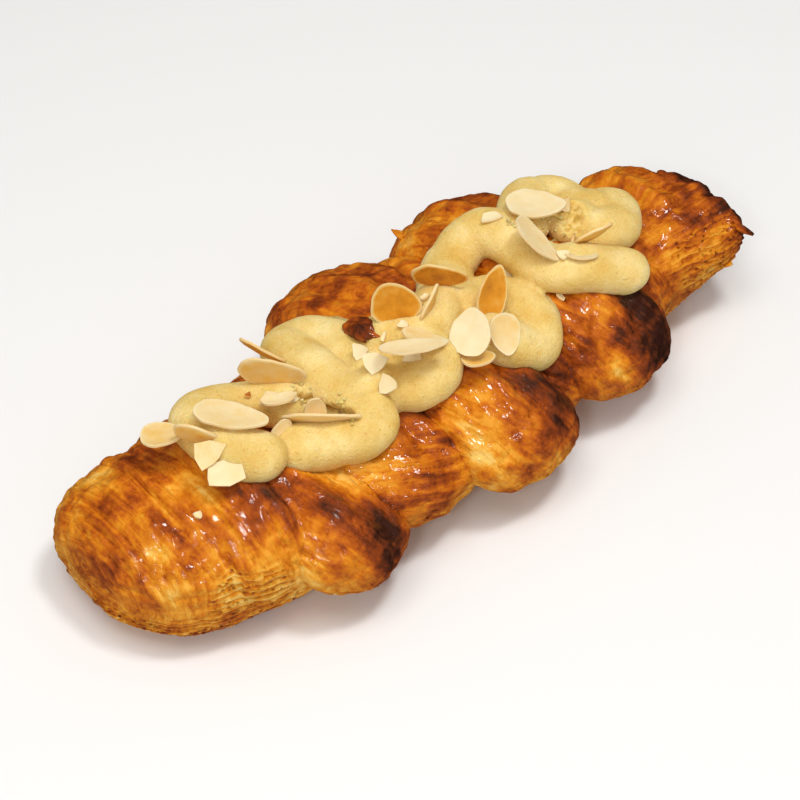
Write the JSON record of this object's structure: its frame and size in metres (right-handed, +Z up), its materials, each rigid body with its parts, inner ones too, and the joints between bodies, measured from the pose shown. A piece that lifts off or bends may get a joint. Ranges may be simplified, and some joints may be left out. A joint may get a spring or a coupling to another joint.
{
  "type": "almond croissant twist",
  "caption": "Twisted loaf of laminated pastry with a squiggle of almond cream along its crown and sliced almonds.",
  "frame": {"origin": "centre of the bounding box at the level of the surface that the loaf lies on", "axes": "+X along the loaf from its round end to its cut tail, +Y across it to the far side, +Z up"},
  "size_m": [0.217, 0.0948, 0.057],
  "materials": {
    "crust": "egg-washed crust, baked golden to dark brown",
    "cream": "baked almond cream, dull",
    "almond": "lightly toasted"
  },
  "bodies": {
    "root": {"pastry": "crust", "almond_cream": "cream", "almond_slice_01": "almond", "almond_slice_02": "almond", "almond_slice_03": "almond", "almond_slice_04": "almond", "almond_slice_05": "almond", "almond_slice_06": "almond", "almond_slice_07": "almond", "almond_slice_08": "almond", "almond_slice_09": "almond", "almond_slice_10": "almond", "almond_slice_11": "almond", "almond_slice_12": "almond", "almond_slice_13": "almond", "almond_slice_14": "almond", "almond_slice_15": "almond", "almond_slice_16": "almond", "almond_slice_17": "almond", "almond_slice_18": "almond", "almond_slice_19": "almond", "almond_slice_20": "almond", "almond_slice_21": "almond", "almond_slice_22": "almond", "almond_slice_23": "almond", "almond_slice_24": "almond", "almond_slice_25": "almond", "almond_slice_26": "almond", "almond_slice_27": "almond"}
  },
  "joints": []
}
